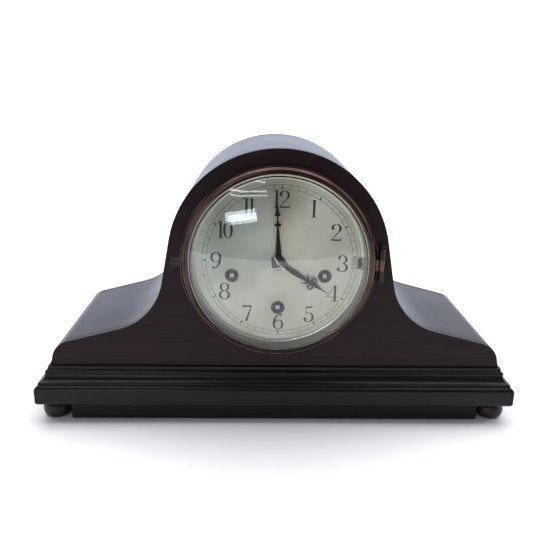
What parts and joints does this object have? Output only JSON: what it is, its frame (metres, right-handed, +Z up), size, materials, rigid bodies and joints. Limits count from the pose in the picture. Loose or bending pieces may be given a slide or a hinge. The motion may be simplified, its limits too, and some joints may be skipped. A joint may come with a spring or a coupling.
{
  "type": "mantel clock",
  "caption": "Tambour mantel clock in dark mahogany on a stepped ebonised base, with a hinged brass bezel, silvered dial, chiming movement and pendulum.",
  "frame": {"origin": "on the surface the feet stand on, in the middle of the width and of the depth", "axes": "+Z up, +X to the viewer's right when facing the dial, +Y from the dial to the back"},
  "size_m": [0.42, 0.167, 0.2403],
  "materials": {
    "mahogany": "dark stained, satin French polish",
    "ebonised": "ebonised black, satin",
    "foot_wood": "stained reddish brown, worn polish",
    "plain_wood": "unpolished, stained",
    "bezel_brass": "aged, lacquered",
    "bronze": "aged, dark",
    "silvered": "silvered brass, circular grain",
    "rim_silver": "silvered brass, turned",
    "label_grey": "dull silvered",
    "blued_steel": "blued nearly black",
    "steel": "polished",
    "movement_brass": "machine finished",
    "bob_brass": "turned, lacquered",
    "strap_steel": "pressed, plain",
    "iron": "rough cast, black",
    "rod_bronze": "drawn",
    "glass": "clear, domed",
    "door_brass": "stamped"
  },
  "bodies": {
    "case": {"front_panel": "mahogany", "back_panel": "mahogany", "hat_top": "mahogany", "front_moulding": "ebonised", "left_moulding": "ebonised", "right_moulding": "ebonised", "base_board": "plain_wood", "feet": "foot_wood", "glue_blocks": "plain_wood", "bezel_seat": "bezel_brass", "bezel_hinge_pin": "bronze", "dial_plate": "silvered", "dial_rim": "rim_silver", "silent_plate": "label_grey", "front_plate": "movement_brass", "back_plate": "movement_brass", "plate_pillars": "movement_brass", "movement_brackets": "strap_steel", "plate_studs": "steel", "drum_bridge": "movement_brass", "pendulum_cock": "movement_brass", "rod_block": "iron", "chime_rods": "rod_bronze", "door_hinge_fixed": "door_brass"},
    "bezel_door": {"bezel": "bezel_brass", "glass": "glass"},
    "silent": {"silent_lever": "blued_steel"},
    "minute_arbor": {"centre_wheel": "movement_brass", "cannon_pinion": "steel", "minute_hand": "blued_steel", "hand_collet": "blued_steel", "hand_pin": "steel"},
    "hour_tube": {"hour_wheel": "movement_brass", "hour_hand": "blued_steel"},
    "motion_wheel": {"minute_wheel": "movement_brass"},
    "time_drum": {"time_barrel": "movement_brass"},
    "between_arbor": {"intermediate_wheel": "movement_brass"},
    "third_arbor": {"third_wheel": "steel"},
    "escape_arbor": {"escape_wheel": "steel"},
    "anchor_arbor": {"anchor": "steel"},
    "pendulum": {"pendulum_rod": "steel", "pendulum_bob": "bob_brass", "rating_nut": "movement_brass"},
    "time_winder": {"time_winding_arbor": "steel"},
    "strike_winder": {"strike_winding_arbor": "steel"},
    "chime_winder": {"chime_winding_arbor": "steel"},
    "strike_drum": {"strike_barrel": "movement_brass"},
    "strike_second": {"strike_second_wheel": "movement_brass"},
    "strike_vane": {"strike_fly": "steel"},
    "chime_barrel_drum": {"chime_barrel": "movement_brass"},
    "chime_second": {"chime_second_wheel": "movement_brass"},
    "chime_vane": {"chime_fly": "steel"},
    "pin_drum": {"chime_drum": "movement_brass"},
    "hammer_a": {"hammer_1": "movement_brass"},
    "hammer_b": {"hammer_2": "movement_brass"},
    "hammer_c": {"hammer_3": "movement_brass"},
    "hammer_d": {"hammer_4": "movement_brass"},
    "door": {"back_door": "mahogany", "door_hinge_moving": "door_brass", "door_knob": "door_brass"}
  },
  "joints": [
    {"name": "bezel_hinge", "type": "hinge", "parent": "case", "child": "bezel_door", "pos_m": [0.0862, -0.0653, 0.145], "axis": [0, 0, 1], "range_deg": [0, 115]},
    {"name": "door_hinge", "type": "hinge", "parent": "case", "child": "door", "pos_m": [-0.0625, 0.0804, 0.14], "axis": [0, 0, 1], "range_deg": [0, 100]},
    {"name": "silent_slide", "type": "slide", "parent": "case", "child": "silent", "axis": [0, 0, 1], "range_m": [-0.003, 0.003]},
    {"name": "minute_turn", "type": "hinge", "parent": "case", "child": "minute_arbor", "pos_m": [0, 0, 0.145], "axis": [0, 1, 0], "continuous": true},
    {"name": "hour_turn", "type": "hinge", "parent": "case", "child": "hour_tube", "pos_m": [0, 0, 0.145], "axis": [0, 1, 0], "continuous": true},
    {"name": "motion_turn", "type": "hinge", "parent": "case", "child": "motion_wheel", "pos_m": [0, 0, 0.157], "axis": [0, 1, 0], "continuous": true},
    {"name": "time_drum_turn", "type": "hinge", "parent": "case", "child": "time_drum", "pos_m": [0, 0, 0.1045], "axis": [0, 1, 0], "continuous": true},
    {"name": "between_turn", "type": "hinge", "parent": "case", "child": "between_arbor", "pos_m": [0.01143, 0, 0.12883], "axis": [0, 1, 0], "continuous": true},
    {"name": "third_turn", "type": "hinge", "parent": "case", "child": "third_arbor", "pos_m": [-0.013, 0, 0.15901], "axis": [0, 1, 0], "continuous": true},
    {"name": "escape_turn", "type": "hinge", "parent": "case", "child": "escape_arbor", "pos_m": [0, 0, 0.16862], "axis": [0, 1, 0], "continuous": true},
    {"name": "pendulum_swing", "type": "hinge", "parent": "case", "child": "pendulum", "pos_m": [0, 0, 0.1955], "axis": [0, 1, 0], "range_deg": [-2.5, 2.5]},
    {"name": "anchor_swing", "type": "hinge", "parent": "case", "child": "anchor_arbor", "pos_m": [0, 0, 0.191], "axis": [0, 1, 0], "range_deg": [-3, 3]},
    {"name": "time_winding", "type": "hinge", "parent": "case", "child": "time_winder", "pos_m": [0, 0, 0.1045], "axis": [0, 1, 0], "continuous": true},
    {"name": "strike_winding", "type": "hinge", "parent": "case", "child": "strike_winder", "pos_m": [-0.0395, 0, 0.133], "axis": [0, 1, 0], "continuous": true},
    {"name": "chime_winding", "type": "hinge", "parent": "case", "child": "chime_winder", "pos_m": [0.0395, 0, 0.133], "axis": [0, 1, 0], "continuous": true},
    {"name": "strike_turn", "type": "hinge", "parent": "case", "child": "strike_drum", "pos_m": [-0.0395, 0, 0.133], "axis": [0, 1, 0], "continuous": true},
    {"name": "strike_second_turn", "type": "hinge", "parent": "case", "child": "strike_second", "pos_m": [-0.044, 0, 0.1595], "axis": [0, 1, 0], "continuous": true},
    {"name": "strike_fly_turn", "type": "hinge", "parent": "case", "child": "strike_vane", "pos_m": [-0.036, 0, 0.1745], "axis": [0, 1, 0], "continuous": true},
    {"name": "chime_turn", "type": "hinge", "parent": "case", "child": "chime_barrel_drum", "pos_m": [0.0395, 0, 0.133], "axis": [0, 1, 0], "continuous": true},
    {"name": "chime_second_turn", "type": "hinge", "parent": "case", "child": "chime_second", "pos_m": [0.044, 0, 0.1595], "axis": [0, 1, 0], "continuous": true},
    {"name": "chime_fly_turn", "type": "hinge", "parent": "case", "child": "chime_vane", "pos_m": [0.036, 0, 0.1745], "axis": [0, 1, 0], "continuous": true},
    {"name": "pin_drum_turn", "type": "hinge", "parent": "case", "child": "pin_drum", "pos_m": [0.0515, 0, 0.10895], "axis": [0, 1, 0], "continuous": true},
    {"name": "hammer_a_lift", "type": "hinge", "parent": "case", "child": "hammer_a", "pos_m": [0.036, 0, 0.088], "axis": [0, -1, 0], "range_deg": [0, 20]},
    {"name": "hammer_b_lift", "type": "hinge", "parent": "case", "child": "hammer_b", "pos_m": [0.036, 0, 0.088], "axis": [0, -1, 0], "range_deg": [0, 20]},
    {"name": "hammer_c_lift", "type": "hinge", "parent": "case", "child": "hammer_c", "pos_m": [0.036, 0, 0.088], "axis": [0, -1, 0], "range_deg": [0, 20]},
    {"name": "hammer_d_lift", "type": "hinge", "parent": "case", "child": "hammer_d", "pos_m": [0.036, 0, 0.088], "axis": [0, -1, 0], "range_deg": [0, 20]}
  ],
  "couplings": [
    {"joint": "hour_turn", "follows": "minute_turn", "ratio": 0.083333},
    {"joint": "motion_turn", "follows": "minute_turn", "ratio": -0.25},
    {"joint": "time_drum_turn", "follows": "minute_turn", "ratio": 0.033333},
    {"joint": "between_turn", "follows": "minute_turn", "ratio": -0.2},
    {"joint": "third_turn", "follows": "minute_turn", "ratio": -12},
    {"joint": "escape_turn", "follows": "minute_turn", "ratio": 120},
    {"joint": "anchor_swing", "follows": "pendulum_swing", "ratio": 1.15},
    {"joint": "strike_second_turn", "follows": "strike_turn", "ratio": -6},
    {"joint": "strike_fly_turn", "follows": "strike_turn", "ratio": 45},
    {"joint": "chime_second_turn", "follows": "chime_turn", "ratio": -6},
    {"joint": "chime_fly_turn", "follows": "chime_turn", "ratio": 45},
    {"joint": "pin_drum_turn", "follows": "chime_turn", "ratio": -6}
  ]
}
